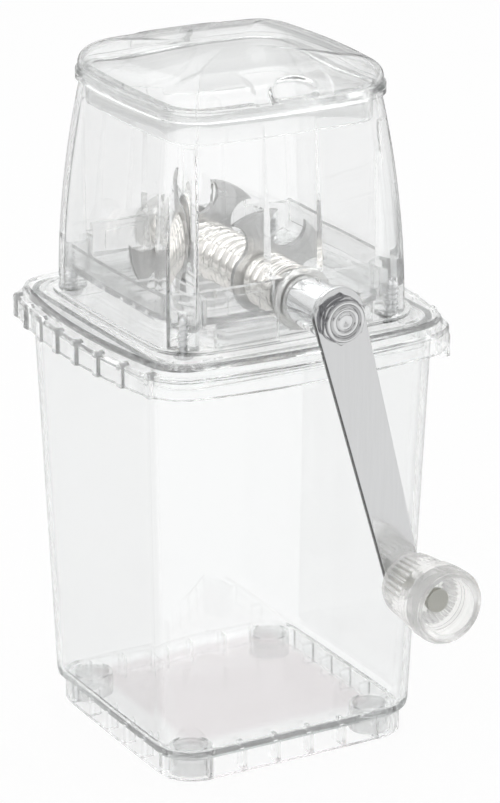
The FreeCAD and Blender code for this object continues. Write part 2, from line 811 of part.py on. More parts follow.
def make_crank_arm():
    """Flat tapered arm with round ends, from the shaft to the knob."""
    top = arm_top_width / 2
    end = arm_end_width / 2
    lean = math.asin((top - end) / (crank_throw + arm_top_overhang))
    points = []
    for radius, place, angle in ((top, -arm_top_overhang, lean), (end, crank_throw, lean)):
        points.append((radius * math.cos(angle), place + radius * math.sin(angle)))
    right_top = Vector(points[0][0], 0, -points[0][1])
    right_end = Vector(points[1][0], 0, -points[1][1])
    left_top = Vector(-right_top.x, 0, right_top.z)
    left_end = Vector(-right_end.x, 0, right_end.z)
    wire = Part.Wire([
        Part.LineSegment(right_top, right_end).toShape(),
        Part.Arc(right_end, Vector(0, 0, -crank_throw - end), left_end).toShape(),
        Part.LineSegment(left_end, left_top).toShape(),
        Part.Arc(left_top, Vector(0, 0, arm_top_overhang + top), right_top).toShape(),
    ])
    arm = Part.Face(wire).extrude(Vector(0, arm_thickness, 0))
    arm.translate(Vector(0, arm_front, axis_height))
    arm.rotate(Vector(0, 0, axis_height), Vector(0, -1, 0), crank_angle)
    arm = arm.cut(hexagon(drive_flats + 2 * running_fit, arm_front - 1, hub_front + 1, hex_phase))
    return arm.cut(rod(axle_radius - 0.4 + running_fit, arm_front - 1, hub_front + 1, knob_x, knob_z))


def make_cap_nut():
    """Flanged cap nut with a ringed, dimpled face that clamps the arm on the stud."""
    flange_front = arm_front - nut_flange_thickness
    face = arm_front - nut_height
    base = turned([(flange_front, nut_flange_radius - 0.5), (flange_front + 0.5, nut_flange_radius),
                   (arm_front, nut_flange_radius)])
    body = hexagon(nut_flats, face, flange_front, hex_phase)
    corner = nut_flats / math.sqrt(3)
    cone = turned([(face, nut_flats / 2 - 0.6), (face + 1.6, corner), (flange_front, corner)])
    solid = joined([base, body.common(cone)])
    ring = rod(nut_ring_radius, face, face + 0.6).cut(rod(nut_ring_radius - 1.0, face, face + 0.6))
    dimple = rod(nut_dimple_radius, face, face + 0.5)
    thread = rod(stud_radius + running_fit, arm_front + 0.2 - stud_length, arm_front)
    return solid.cut(ring).cut(dimple).cut(thread)


# ---- Knob ----------------------------------------------------------------------------------

knob_washer_front = arm_front - washer_thickness
knob_back = knob_washer_front - axial_play
knob_front = knob_back - knob_length
knob_cup_floor = knob_front + knob_cup_depth
head_back = knob_cup_floor - axial_play


def make_knob_axle():
    """Shoulder pin riveted into the arm, whose head keeps the knob on."""
    head_front = head_back - axle_head_thickness
    pieces = [
        rod(axle_head_radius, head_front, head_back, knob_x, knob_z),
        rod(axle_radius, head_back, arm_front, knob_x, knob_z),
        rod(axle_radius - 0.4, arm_front, hub_front, knob_x, knob_z),
        turned([(hub_front, rivet_radius), (hub_front + rivet_height * 0.6, rivet_radius * 0.85),
                (hub_front + rivet_height, rivet_radius * 0.5)], knob_x, knob_z),
    ]
    return joined(pieces)


def make_knob_washer():
    ring = rod(knob_washer_radius, knob_washer_front, arm_front, knob_x, knob_z)
    return ring.cut(rod(axle_radius + running_fit, knob_washer_front, arm_front, knob_x, knob_z))


def fluted_prism(front, back):
    """A prism along the knob's axis whose round is broken by flat-bottomed flutes."""
    step = 2 * math.pi / knob_flute_count
    points = []
    for k in range(knob_flute_count):
        for share, radius in ((-0.32, knob_grip_radius), (0.16, knob_grip_radius),
                              (0.26, knob_grip_radius - knob_flute_depth),
                              (0.58, knob_grip_radius - knob_flute_depth)):
            angle = (k + share) * step
            points.append(Vector(knob_x + radius * math.cos(angle), front, knob_z + radius * math.sin(angle)))
    points.append(points[0])
    return Part.Face(Part.makePolygon(points)).extrude(Vector(0, back - front, 0))


def make_knob():
    """Clear knob: a fluted grip behind a wider smooth head with a deep cup in its face."""
    neck = knob_front + knob_head_length
    grip = knob_grip_radius
    head = knob_head_radius
    front = turned([
        (knob_front, head - 1.6),
        (knob_front + 0.5, head - 0.7),
        (knob_front + 1.6, head),
        (neck - 2.4, head),
        (neck - 0.6, head - 0.7),
        (neck, grip),
    ], knob_x, knob_z)
    back = turned([
        (neck - 1.0, grip + 1.0),
        (knob_back - 2.0, grip + 1.0),
        (knob_back - 2.0, grip - 0.3),
        (knob_back - 0.6, grip - 1.2),
        (knob_back, grip - 2.4),
    ], knob_x, knob_z).common(fluted_prism(neck - 1.0, knob_back))
    body = joined([front, back])
    body = body.cut(rod(axle_radius + running_fit, knob_front, knob_back, knob_x, knob_z))
    cup = turned([(knob_front, knob_cup_radius), (knob_cup_floor, knob_cup_radius - 0.6)], knob_x, knob_z)
    return body.cut(cup)


# ---- Write every piece ---------------------------------------------------------------------

def make_all():
    shapes = {
        "cup": make_cup(),
        "foot_pads": make_foot_pads(),
        "head_base": make_head_base(),
        "hopper": make_hopper(),
        "hopper_screws": make_hopper_screws(),
        "chute_frame": make_chute_frame(),
        "lid": make_lid(),
        "front_bearing": make_front_bearing(),
        "rear_bearing": make_rear_bearing(),
        "shaft": make_shaft(),
        "rear_blade": make_blade(rear_blade_y, rear_blade_phase),
        "middle_blade": make_blade(middle_blade_y, middle_blade_phase),
        "front_blade": make_blade(front_blade_y, front_blade_phase),
        "rear_washer": make_washer(hex_back, 1),
        "front_washer": make_washer(hex_front, -1),
        "hub_sleeve": make_hub_sleeve(),
        "crank_arm": make_crank_arm(),
        "cap_nut": make_cap_nut(),
        "knob_axle": make_knob_axle(),
        "knob_washer": make_knob_washer(),
        "knob": make_knob(),
    }
    for name, span in collar_spans().items():
        shapes[name] = make_collar(*span)
    return shapes


os.makedirs("parts", exist_ok=True)
for name, shape in make_all().items():
    shape.exportStep("parts/%s.step" % name)
    print("%-16s solids %d  valid %s  volume %.0f" % (name, len(shape.Solids), shape.isValid(), shape.Volume))
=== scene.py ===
import math

import bmesh
import bpy
from mathutils import Matrix, Vector


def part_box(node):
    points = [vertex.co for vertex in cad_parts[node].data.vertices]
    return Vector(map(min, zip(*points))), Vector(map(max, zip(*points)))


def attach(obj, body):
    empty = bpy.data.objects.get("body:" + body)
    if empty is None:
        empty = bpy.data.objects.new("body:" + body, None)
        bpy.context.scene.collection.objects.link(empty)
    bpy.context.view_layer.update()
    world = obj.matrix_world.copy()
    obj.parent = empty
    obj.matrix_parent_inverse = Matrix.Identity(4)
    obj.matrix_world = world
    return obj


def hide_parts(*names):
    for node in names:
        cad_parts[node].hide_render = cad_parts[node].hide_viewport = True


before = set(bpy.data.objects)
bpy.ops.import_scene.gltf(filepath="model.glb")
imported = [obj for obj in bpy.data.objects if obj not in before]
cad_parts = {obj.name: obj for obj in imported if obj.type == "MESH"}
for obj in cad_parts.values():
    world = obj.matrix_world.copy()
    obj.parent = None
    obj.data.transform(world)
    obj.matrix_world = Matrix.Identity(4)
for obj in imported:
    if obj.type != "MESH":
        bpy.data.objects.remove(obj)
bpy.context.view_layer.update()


# ---- Cup -----------------------------------------------------------------------------------
# Square tapered beaker that catches the shaved ice, moulded in one shot from clear plastic.
# Its walls are polished inside and out; the underside of its floor is lightly frosted and carries a painted grey
# shadow.

mm = 0.001


def node(tree, kind, inputs=None, **settings):
    """A new shader node; an input may be a value or another node's output."""
    made = tree.nodes.new(kind)
    for key, value in settings.items():
        setattr(made, key, value)
    for key, value in (inputs or {}).items():
        if isinstance(value, bpy.types.NodeSocket):
            tree.links.new(value, made.inputs[key])
        else:
            made.inputs[key].default_value = value
    return made


def finish_group(name, inputs, outputs):
    """A node group that holds one finish, with its named inputs and outputs."""
    group = bpy.data.node_groups.new(name, "ShaderNodeTree")
    for label, value in inputs:
        kind = "NodeSocketVector" if isinstance(value, tuple) else "NodeSocketFloat"
        group.interface.new_socket(label, in_out="INPUT", socket_type=kind).default_value = value
    for label, kind in outputs:
        group.interface.new_socket(label, in_out="OUTPUT", socket_type=kind)
    return group, group.nodes.new("NodeGroupInput"), group.nodes.new("NodeGroupOutput")


def moulded_surface():
    """Slow flow waves from the mould and fine handling scuffs, for every moulded plastic."""
    group, enter, leave = finish_group("moulded_surface", [("Wave", 0.2), ("Scuff", 0.03), ("Roughness", 0.02)],
                                       [("Height", "NodeSocketFloat"), ("Roughness", "NodeSocketFloat")])
    place = node(group, "ShaderNodeTexCoord").outputs["Object"]
    slow = node(group, "ShaderNodeTexNoise", {"Vector": place, "Scale": 28.0, "Detail": 1.0})
    height = node(group, "ShaderNodeMath", {0: slow.outputs["Fac"], 1: enter.outputs["Wave"]}, operation="MULTIPLY")
    drawn = node(group, "ShaderNodeMapping", {"Vector": place, "Rotation": (0.5, 0.4, 0.3),
                                              "Scale": (900, 60, 400)})
    lines = node(group, "ShaderNodeTexNoise", {"Vector": drawn.outputs["Vector"], "Scale": 1.0, "Detail": 3.0})
    peaks = node(group, "ShaderNodeMapRange", {"Value": lines.outputs["Fac"], "From Min": 0.55, "From Max": 0.8})
    marks = node(group, "ShaderNodeMath", {0: peaks.outputs["Result"], 1: enter.outputs["Scuff"]},
                 operation="MULTIPLY")
    rough = node(group, "ShaderNodeMath", {0: marks.outputs["Value"], 1: enter.outputs["Roughness"]},
                 operation="ADD")
    group.links.new(height.outputs["Value"], leave.inputs["Height"])
    group.links.new(rough.outputs["Value"], leave.inputs["Roughness"])
    return group


plastic_skin = moulded_surface()


def clear_plastic(name, colour, tint, density, roughness=0.01, scuff=0.02, wave=0.12, clearness=1.0, ior=1.26,
                  body=0.88):
    """Clear plastic: light passes through it and is slowly tinted on its way; body is its visible share."""
    material = bpy.data.materials.new(name)
    material.use_nodes = True
    tree = material.node_tree
    shader = tree.nodes["Principled BSDF"]
    shader.inputs["Base Color"].default_value = (*colour, 1)
    shader.inputs["Metallic"].default_value = 0.0
    shader.inputs["Transmission Weight"].default_value = clearness
    shader.inputs["IOR"].default_value = ior
    shader.inputs["Alpha"].default_value = body
    skin = node(tree, "ShaderNodeGroup", node_tree=plastic_skin)
    skin.inputs["Scuff"].default_value = scuff
    skin.inputs["Roughness"].default_value = roughness
    skin.inputs["Wave"].default_value = wave
    tree.links.new(skin.outputs["Roughness"], shader.inputs["Roughness"])
    bump = node(tree, "ShaderNodeBump", {"Height": skin.outputs["Height"], "Strength": 0.12, "Distance": 0.001})
    tree.links.new(bump.outputs["Normal"], shader.inputs["Normal"])
    dye = node(tree, "ShaderNodeVolumeAbsorption", {"Color": (*tint, 1), "Density": density})
    tree.links.new(dye.outputs["Volume"], tree.nodes["Material Output"].inputs["Volume"])
    return material


def matt_floor_with_painted_shadow(material, low, high, half, shadow_tint, soft=4.0 * mm, fade=0.5 * mm):
    """Roughens the plastic between two heights inside a square, a matt panel in the mould, and paints a shadow
    there in the given shadow tint.
    """
    tree = material.node_tree
    shader = tree.nodes["Principled BSDF"]
    place = node(tree, "ShaderNodeTexCoord").outputs["Object"]
    axes = node(tree, "ShaderNodeSeparateXYZ", {"Vector": place})
    limits = [(axes.outputs["Z"], low - fade, low), (axes.outputs["Z"], high + fade, high)]
    for axis in ("X", "Y"):
        size = node(tree, "ShaderNodeMath", {0: axes.outputs[axis]}, operation="ABSOLUTE")
        limits.append((size.outputs["Value"], half + soft, half))
    inside = 1.0
    for value, start, end in limits:
        share = node(tree, "ShaderNodeMapRange", {"Value": value, "From Min": start, "From Max": end})
        both = node(tree, "ShaderNodeMath", {0: inside, 1: share.outputs["Result"]}, operation="MULTIPLY")
        inside = both.outputs["Value"]
    grain = node(tree, "ShaderNodeTexNoise", {"Vector": place, "Scale": 2500.0})
    matt = node(tree, "ShaderNodeMath", {0: grain.outputs["Fac"], 1: 0.25}, operation="MULTIPLY")
    skin = shader.inputs["Roughness"].links[0].from_socket
    rough = node(tree, "ShaderNodeMath", {0: matt.outputs["Value"], 1: inside, 2: skin}, operation="MULTIPLY_ADD")
    tree.links.new(rough.outputs["Value"], shader.inputs["Roughness"])
    # Painted shadow: inside the panel the base colour turns to the shadow tint, standing in for the cup's shadow on
    # the table below.
    colour = node(tree, "ShaderNodeMix", {0: inside}, data_type="RGBA")
    colour.inputs[6].default_value = shader.inputs["Base Color"].default_value
    colour.inputs[7].default_value = (*shadow_tint, 1)
    tree.links.new(colour.outputs[2], shader.inputs["Base Color"])


def dress(material, *names):
    """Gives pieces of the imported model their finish."""
    for name in names:
        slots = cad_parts[name].data.materials
        slots.clear()
        slots.append(material)


cup_plastic = clear_plastic("cup_plastic", (0.99, 0.992, 0.992), (0.74, 0.79, 0.78), 16.0)
# Painted shadow: the pinkish grey panel on the cup's floor stands in for its shadow on the table; the roughness is
# the matt frosting.
matt_floor_with_painted_shadow(cup_plastic, low=7.0 * mm, high=10.9 * mm, half=34.0 * mm, shadow_tint=(0.88, 0.84, 0.85))
dress(cup_plastic, "cup")


# ---- Foot pads -----------------------------------------------------------------------------
# Four round pads of soft, milky silicone pressed into sockets under the foot.

pad_silicone = clear_plastic("pad_silicone", (0.97, 0.975, 0.975), (0.9, 0.9, 0.9), 6.0, roughness=0.25,
                             clearness=0.6, body=0.5)
dress(pad_silicone, "foot_pads")


# ---- Head base -----------------------------------------------------------------------------
# Flange with a skirt of grip ribs that drops over the cup's rim; its deck carries the hopper.
# Moulded from the same clear plastic as the cup, with a faint green cast in its thick edges.

base_plastic = clear_plastic("base_plastic", (0.994, 0.997, 0.996), (0.76, 0.84, 0.81), 5.0)
dress(base_plastic, "head_base")


# ---- Hopper --------------------------------------------------------------------------------
# Leaning clear walls with four screw bosses and an arch for each bearing, moulded in one shot.
# It stands on the deck and is held by four screws from below.

hopper_plastic = clear_plastic("hopper_plastic", (0.995, 0.997, 0.997), (0.76, 0.81, 0.80), 6.0)
dress(hopper_plastic, "hopper")


# ---- Chute frame ---------------------------------------------------------------------------
# Funnel with fixed bars that stands in the foot of the hopper, in slightly smoky clear plastic.

chute_plastic = clear_plastic("chute_plastic", (0.985, 0.988, 0.988), (0.82, 0.83, 0.84), 4.0, roughness=0.05,
                              clearness=0.94)
dress(chute_plastic, "chute_frame")


# ---- Bearings ------------------------------------------------------------------------------
# Flanged bushes of natural nylon, one in each arch of the hopper; the rear one is closed.

bush_nylon = clear_plastic("bush_nylon", (0.94, 0.94, 0.93), (0.85, 0.85, 0.82), 30.0, roughness=0.18,
                           clearness=0.8)
dress(bush_nylon, "front_bearing", "rear_bearing")


# ---- Hopper screws -------------------------------------------------------------------------
# Four self-tapping screws driven up through the deck, zinc plated, with a coarse sharp thread.

def worked_metal():
    """Fine lines left by turning or brushing and soft wipe marks, for every bare metal."""
    group, enter, leave = finish_group("worked_metal", [("Stretch", (120.0, 4000.0, 120.0)), ("Line", 0.1),
                                                        ("Smudge", 0.05), ("Roughness", 0.15)],
                                       [("Height", "NodeSocketFloat"), ("Roughness", "NodeSocketFloat"),
                                        ("Shade", "NodeSocketFloat")])
    place = node(group, "ShaderNodeTexCoord").outputs["Object"]
    drawn = node(group, "ShaderNodeVectorMath", {0: place, 1: enter.outputs["Stretch"]}, operation="MULTIPLY")
    lines = node(group, "ShaderNodeTexNoise", {"Vector": drawn.outputs["Vector"], "Scale": 1.0, "Detail": 2.0})
    wipes = node(group, "ShaderNodeTexNoise", {"Vector": place, "Scale": 90.0, "Detail": 3.0})
    height = node(group, "ShaderNodeMath", {0: lines.outputs["Fac"], 1: enter.outputs["Line"]},
                  operation="MULTIPLY")
    rough = node(group, "ShaderNodeMath", {0: wipes.outputs["Fac"], 1: enter.outputs["Smudge"],
                                           2: enter.outputs["Roughness"]}, operation="MULTIPLY_ADD")
    group.links.new(height.outputs["Value"], leave.inputs["Height"])
    group.links.new(rough.outputs["Value"], leave.inputs["Roughness"])
    group.links.new(lines.outputs["Fac"], leave.inputs["Shade"])
    return group


metal_skin = worked_metal()


def metal(name, light, dark, roughness, stretch=(120, 4000, 120), line=0.1, smudge=0.05):
    """Bare metal whose colour runs between two close shades along its working lines."""
    material = bpy.data.materials.new(name)
    material.use_nodes = True
    tree = material.node_tree
    shader = tree.nodes["Principled BSDF"]
    shader.inputs["Metallic"].default_value = 1.0
    skin = node(tree, "ShaderNodeGroup", node_tree=metal_skin)
    for label, value in (("Stretch", stretch), ("Line", line), ("Smudge", smudge), ("Roughness", roughness)):
        skin.inputs[label].default_value = value
    tone = node(tree, "ShaderNodeMix", {0: skin.outputs["Shade"]}, data_type="RGBA")
    tone.inputs[6].default_value = (*dark, 1)
    tone.inputs[7].default_value = (*light, 1)
    tree.links.new(tone.outputs[2], shader.inputs["Base Color"])
    tree.links.new(skin.outputs["Roughness"], shader.inputs["Roughness"])
    bump = node(tree, "ShaderNodeBump", {"Height": skin.outputs["Height"], "Strength": 0.12, "Distance": 0.0002})
    tree.links.new(bump.outputs["Normal"], shader.inputs["Normal"])
    return material


def paint_flank_shade(material, shade, above=2.0):
    """Paints shade onto the flanks of a piece whose broad faces look along Y, but not onto those that look up:
    painted dark reflections along its edges.
    """
    tree = material.node_tree
    shader = tree.nodes["Principled BSDF"]
    facing = node(tree, "ShaderNodeSeparateXYZ", {"Vector": node(tree, "ShaderNodeTexCoord").outputs["Normal"]})
    flat = node(tree, "ShaderNodeMath", {0: facing.outputs["Y"]}, operation="ABSOLUTE")
    side = node(tree, "ShaderNodeMapRange", {"Value": flat.outputs["Value"], "From Min": 0.9, "From Max": 0.6})
    down = node(tree, "ShaderNodeMapRange", {"Value": facing.outputs["Z"], "From Min": above,
                                             "From Max": above - 0.3})
    both = node(tree, "ShaderNodeMath", {0: side.outputs["Result"], 1: down.outputs["Result"]},
                operation="MULTIPLY")
    mixed = node(tree, "ShaderNodeMix", {0: both.outputs["Value"]}, data_type="RGBA")
    tree.links.new(shader.inputs["Base Color"].links[0].from_socket, mixed.inputs[6])
    mixed.inputs[7].default_value = (*shade, 1)
    tree.links.new(mixed.outputs[2], shader.inputs["Base Color"])


def new_piece(name, mesh, material, slot, body, *stands_for):
    """Puts a finished mesh on its body in the place of the pieces it stands for."""
    mesh.materials.append(material)
    piece = bpy.data.objects.new(name, mesh)
    bpy.context.scene.collection.objects.link(piece)
    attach(piece, body)
    if stands_for:
        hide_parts(*stands_for)
    return piece


def close_mesh(name, net, smooth=True):
    """A mesh from a bmesh, with doubles merged and its faces turned outwards."""
    bmesh.ops.remove_doubles(net, verts=net.verts, dist=1e-6)
    bmesh.ops.recalc_face_normals(net, faces=net.faces)
    for face in net.faces:
        face.smooth = smooth
    mesh = bpy.data.meshes.new(name)
    net.to_mesh(mesh)
    net.free()
    return mesh


def screw_mesh(places, low, deck, tip, head_radius, head_high, core, crest, pitch, steps=28):
    """Screws with a plain pan head, a pointed core and one real helical thread each."""
    lead_in, run_out, sunk, root_half, crest_half = 0.3 * mm, 2.0 * mm, 0.1 * mm, 0.45 * mm, 0.06 * mm
    net = bmesh.new()
    turns = (tip - deck - run_out) / pitch
    for x, y in places:
        profile = [(low, 0), (low, head_radius - 0.5 * mm), (low + 0.5 * mm, head_radius),
                   (low + head_high, head_radius), (low + head_high, core), (tip - 1.5 * mm, core), (tip, 0)]
        rings = [[net.verts.new((x + radius * math.cos(2 * math.pi * k / steps),
                                 y + radius * math.sin(2 * math.pi * k / steps), z)) for k in range(steps)]
                 for z, radius in profile]
        for first, second in zip(rings, rings[1:]):
            for k in range(steps):
                j = (k + 1) % steps
                net.faces.new((first[k], first[j], second[j], second[k]))
        previous = None
        count = int(turns * steps)
        for k in range(count + 1):
            angle = 2 * math.pi * k / steps
            z = deck + lead_in + pitch * k / steps
            reach = core + (crest - core) * min(1.0, (count - k) / steps + 0.15)
            shape = [(core - sunk, -root_half), (reach, -crest_half), (reach, crest_half), (core - sunk, root_half)]
            ring = [net.verts.new((x + r * math.cos(angle), y + r * math.sin(angle), z + up)) for r, up in shape]
            if previous:
                for a in range(len(shape)):
                    b = (a + 1) % len(shape)
                    net.faces.new((previous[a], previous[b], ring[b], ring[a]))
            else:
                net.faces.new(ring)
            previous = ring
        net.faces.new(list(reversed(previous)))
    return close_mesh("hopper_screw_set", net, smooth=False)


hopper_width, screw_inset = 97.0 * mm, 8.9 * mm
screw_at = hopper_width / 2 - screw_inset
screw_places = [(sx * screw_at, sy * screw_at) for sx in (-1, 1) for sy in (-1, 1)]
zinc = metal("zinc_plate", (0.84, 0.845, 0.85), (0.72, 0.725, 0.73), 0.3, stretch=(300, 300, 3000))
screws = screw_mesh(screw_places, low=150.4 * mm, deck=155.0 * mm, tip=167.0 * mm, head_radius=3.6 * mm,
                    head_high=2.0 * mm, core=1.42 * mm, crest=1.9 * mm, pitch=1.8 * mm)
new_piece("hopper_screw_set", screws, zinc, "zinc_steel", "head", "hopper_screws")


# ---- Shaft, washers and collars ------------------------------------------------------------
# Hexagonal steel shaft in round journals. Chromed collars with rounded ribs space the blades.

rotor_z = 169.0 * mm
shaft_steel = metal("shaft_steel", (0.66, 0.66, 0.67), (0.52, 0.52, 0.53), 0.22)
dress(shaft_steel, "shaft", "rear_washer", "front_washer", "knob_washer")


def rounded(profile, radius, steps=3):
    """A closed outline with each of its corners rounded off."""
    points = []
    count = len(profile)
    for k in range(count):
        here = Vector(profile[k])
        before = Vector(profile[k - 1]) - here
        after = Vector(profile[(k + 1) % count]) - here
        cut = min(radius, before.length * 0.45, after.length * 0.45)
        start = here + before.normalized() * cut
        end = here + after.normalized() * cut
        for step in range(steps + 1):
            share = step / steps
            points.append((start * (1 - share) ** 2 + here * 2 * share * (1 - share) + end * share ** 2)[:])
    return points


def turned_mesh(name, profile, soft, steps=96):
    """A body turned about the rotor's axis from a closed outline of (y, radius) points."""
    outline = rounded(profile, soft)
    net = bmesh.new()
    rings = []
    for k in range(steps):
        angle = 2 * math.pi * k / steps
        rings.append([net.verts.new((radius * math.cos(angle), y, rotor_z + radius * math.sin(angle)))
                      for y, radius in outline])
    for k in range(steps):
        first, second = rings[k], rings[(k + 1) % steps]
        for a in range(len(outline)):
            b = (a + 1) % len(outline)
            net.faces.new((first[a], first[b], second[b], second[a]))
    return close_mesh(name, net)


def collar_mesh(name, front, back, outer=9.6 * mm, bore=5.4 * mm, rib=4.7 * mm, depth=1.3 * mm, steps=14):
    """A collar whose outside rolls up and down in even rounded ribs."""
    count = max(round((back - front) / rib), 1)
    step = (back - front) / count
    outline = [(back, bore), (front, bore)]
    for k in range(count * steps + 1):
        wave = abs(math.sin(math.pi * k / steps))
        outline.append((front + step * k / steps, outer - depth + depth * wave ** 0.55))
    return turned_mesh(name, outline, soft=0.05 * mm)


collar_chrome = metal("collar_chrome", (0.83, 0.815, 0.79), (0.74, 0.72, 0.69), 0.07, line=0.06)
for collar in ("rear_collar", "short_collar", "long_collar_1", "long_collar_2", "long_collar_3",
               "long_collar_4", "front_collar_1", "front_collar_2"):
    low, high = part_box(collar)
    new_piece(collar + "_ribbed", collar_mesh(collar + "_ribbed", low.y, high.y), collar_chrome,
              "collar_chrome", "rotor", collar)


# ---- Blades --------------------------------------------------------------------------------
# Three blades stamped from stainless sheet and tumbled bright. Each has three claws on one side
# and is cut back to the hub on the other; a small bevel breaks its edges.

def plate_mesh(name, outline, front, back, bevel):
    """A flat plate from an (x, z) outline, with bevelled rims."""
    net = bmesh.new()
    face = net.faces.new([net.verts.new((x, front, z)) for x, z in outline])
    grown = bmesh.ops.extrude_face_region(net, geom=[face])
    moved = [item for item in grown["geom"] if isinstance(item, bmesh.types.BMVert)]
    bmesh.ops.translate(net, verts=moved, vec=(0, back - front, 0))
    bmesh.ops.recalc_face_normals(net, faces=net.faces)
    rims = [edge for edge in net.edges if abs(edge.verts[0].co.y - edge.verts[1].co.y) < 1e-7]
    bmesh.ops.bevel(net, geom=rims, offset=bevel, segments=2, profile=0.5, affect="EDGES", clamp_overlap=True)
    mesh = close_mesh(name, net)
    for polygon in mesh.polygons:
        polygon.use_smooth = abs(polygon.normal.y) < 0.98
    return mesh


def claw_outline(phase, radius=23.5 * mm, neck=11.8 * mm, back=12.4 * mm, span=43.6, pitch=72.0, claws=3):
    """Claws side by side between round gaps; behind them the rim is cut back to the hub."""
    gap_steps, tip_steps, back_steps = 16, 12, 24
    half = math.radians((pitch - span) / 2)
    tip = (radius * math.cos(half), radius * math.sin(half))
    centre = (radius ** 2 - neck ** 2) / (2 * (tip[0] - neck))
    bite = centre - neck
    sweep = math.atan2(tip[1], centre - tip[0])
    low = math.acos((centre ** 2 + back ** 2 - bite ** 2) / (2 * centre * back))
    low_sweep = math.atan2(back * math.sin(low), centre - back * math.cos(low))
    points = []

    def spot(along, aside, angle):
        points.append((along * math.cos(angle) - aside * math.sin(angle),
                       rotor_z + along * math.sin(angle) + aside * math.cos(angle)))

    for k in range(claws + 1):
        gap = math.radians(phase + pitch * (0.5 - k))
        first = low_sweep if k == 0 else sweep
        last = -low_sweep if k == claws else -sweep
        for step in range(gap_steps + 1):
            angle = first + (last - first) * step / gap_steps
            spot(centre - bite * math.cos(angle), bite * math.sin(angle), gap)
        if k < claws:
            for step in range(1, tip_steps):
                spot(radius, 0, gap - half - math.radians(span) * step / tip_steps)
    end = gap - low
    turn = 2 * math.pi - math.radians(pitch * claws) - 2 * low
    for step in range(1, back_steps):
        spot(back, 0, end - turn * step / back_steps)
    return points


blade_steel = metal("blade_steel", (0.66, 0.66, 0.655), (0.56, 0.56, 0.56), 0.24, stretch=(500, 500, 500),
                    line=0.15, smudge=0.12)
# Painted shade: the blades' flanks are darkened to show the dark edges they would mirror.
paint_flank_shade(blade_steel, (0.34, 0.34, 0.34))
for blade, phase in (("rear_blade", 343.0), ("middle_blade", 60.0), ("front_blade", 100.0)):
    low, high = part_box(blade)
    new_piece(blade + "_stamped", plate_mesh(blade + "_stamped", claw_outline(phase), low.y, high.y, 0.22 * mm),
              blade_steel, "blade_steel", "rotor", blade)


# ---- Hub sleeve and cap nut ----------------------------------------------------------------
# Bright chromed sleeve on the shaft's end, and a chromed cap nut with a ringed, dished face
# that clamps the crank arm against it.

hub_low, hub_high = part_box("hub_sleeve")
nut_low, nut_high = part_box("cap_nut")
bright_chrome = metal("bright_chrome", (0.84, 0.845, 0.85), (0.78, 0.785, 0.79), 0.04, line=0.04, smudge=0.03)
hub_bore, hub_radius, chamfer = 4.2 * mm, 8.7 * mm, 0.6 * mm
hub_outline = [(hub_high.y, hub_bore), (hub_low.y, hub_bore), (hub_low.y, hub_radius - chamfer),
               (hub_low.y + chamfer, hub_radius), (hub_high.y - chamfer, hub_radius),
               (hub_high.y, hub_radius - chamfer)]
new_piece("hub_sleeve_polished", turned_mesh("hub_sleeve_polished", hub_outline, soft=0.3 * mm), bright_chrome,
          "chrome", "rotor", "hub_sleeve")


def cap_nut_mesh(front, back):
    """A hexagon behind a turned face with two raised rings and a dimple, on a thin round flange."""
    face = [(back, 0.0), (back, 8.0), (back - 0.8, 8.0), (back - 1.0, 7.7), (back - 1.4, 7.5),
            (front + 0.5, 7.3), (front + 0.1, 6.9), (front, 6.5), (front + 0.12, 6.0), (front + 0.55, 5.6),
            (front + 0.6, 5.2), (front + 0.2, 4.7), (front + 0.06, 4.2), (front + 0.12, 3.8),
            (front + 0.5, 3.4), (front + 0.55, 3.0), (front + 0.25, 2.5), (front + 0.15, 2.0),
            (front + 0.3, 1.2), (front + 0.45, 0.0)]
    mesh = turned_mesh("cap_nut_turned", [(y * mm, max(radius, 0.001) * mm) for y, radius in face],
                       steps=120, soft=0.12 * mm)
    net = bmesh.new()
    net.from_mesh(mesh)
    across_flats, twist, flange, face_depth = 14.9, 24, 1.0, 1.2
    corner = across_flats * mm / math.sqrt(3)
    rim = [net.verts.new((corner * math.cos(math.radians(twist + 60 * k)), (back - flange) * mm,
                          rotor_z + corner * math.sin(math.radians(twist + 60 * k)))) for k in range(6)]
    sheet = net.faces.new(rim)
    grown = bmesh.ops.extrude_face_region(net, geom=[sheet])
    moved = [item for item in grown["geom"] if isinstance(item, bmesh.types.BMVert)]
    bmesh.ops.translate(net, verts=moved, vec=(0, (front + face_depth - back + flange) * mm, 0))
    edges = [edge for edge in net.edges if all(vertex in rim or vertex in moved for vertex in edge.verts)]
    bmesh.ops.bevel(net, geom=edges, offset=0.35 * mm, segments=3, profile=0.5, affect="EDGES")
    return close_mesh("cap_nut_turned", net)


def ramp(tree, source, stops):
    """A colour ramp of grey levels at given places."""
    made = node(tree, "ShaderNodeValToRGB", {"Fac": source})
    band = made.color_ramp
    while len(band.elements) > 1:
        band.elements.remove(band.elements[-1])
    for k, (place, grey) in enumerate(stops):
        element = band.elements[0] if k == 0 else band.elements.new(place)
        element.position = place
        element.color = (grey, grey, grey, 1)
    return made.outputs["Color"]


